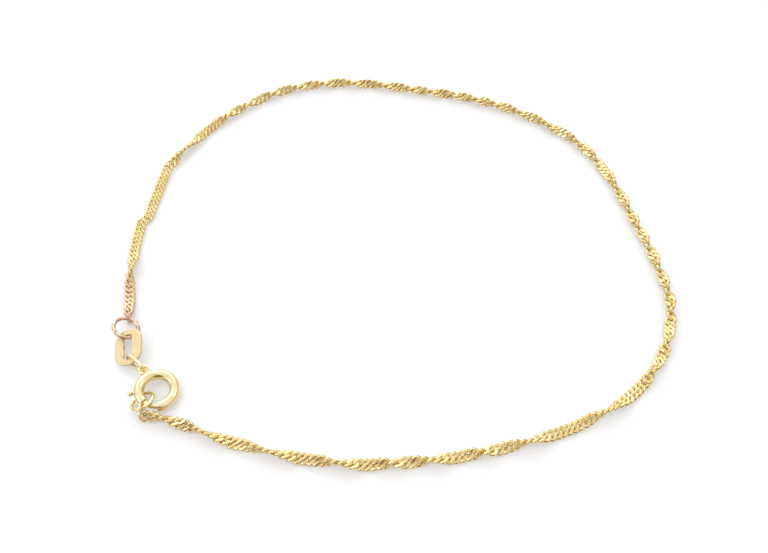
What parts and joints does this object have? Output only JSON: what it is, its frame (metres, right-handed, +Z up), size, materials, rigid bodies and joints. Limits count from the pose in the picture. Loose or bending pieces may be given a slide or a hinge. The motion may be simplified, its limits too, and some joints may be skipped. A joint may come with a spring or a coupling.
{
  "type": "chain bracelet",
  "caption": "Slim chain bracelet of twisted curb links lying in a loose oval, fastened by a small spring-ring clasp, with a flat slotted tag link beside it.",
  "frame": {"origin": "on the table under the middle of the bracelet's overall box, as it lies", "axes": "+Z up from the table, +X along the loop's longer way, away from the clasp, +Y to the loop's far side"},
  "size_m": [0.0679, 0.0598, 0.0021],
  "materials": {
    "gold": "polished yellow gold",
    "satin_gold": "finely brushed yellow gold",
    "tarnished_gold": "tarnished rose brown"
  },
  "bodies": {
    "bracelet": {"chain": "gold", "clasp_case": "gold", "connector_ring": "gold", "tag_link": "satin_gold", "jump_ring": "tarnished_gold", "end_ring": "gold", "jump_end_link_1": "tarnished_gold", "jump_end_link_2": "tarnished_gold", "clasp_end_link_1": "gold", "clasp_end_link_2": "gold", "clasp_end_link_3": "gold", "clasp_end_link_4": "gold"},
    "tongue": {"clasp_tongue": "gold"}
  },
  "joints": [
    {"name": "tongue_draw", "type": "hinge", "parent": "bracelet", "child": "tongue", "pos_m": [-0.027, -0.02083, 0.00086], "axis": [-0.1558, -0.0136, -0.9877], "range_deg": [0, 42], "stiffness_Nm_per_rad": 0.00001}
  ]
}
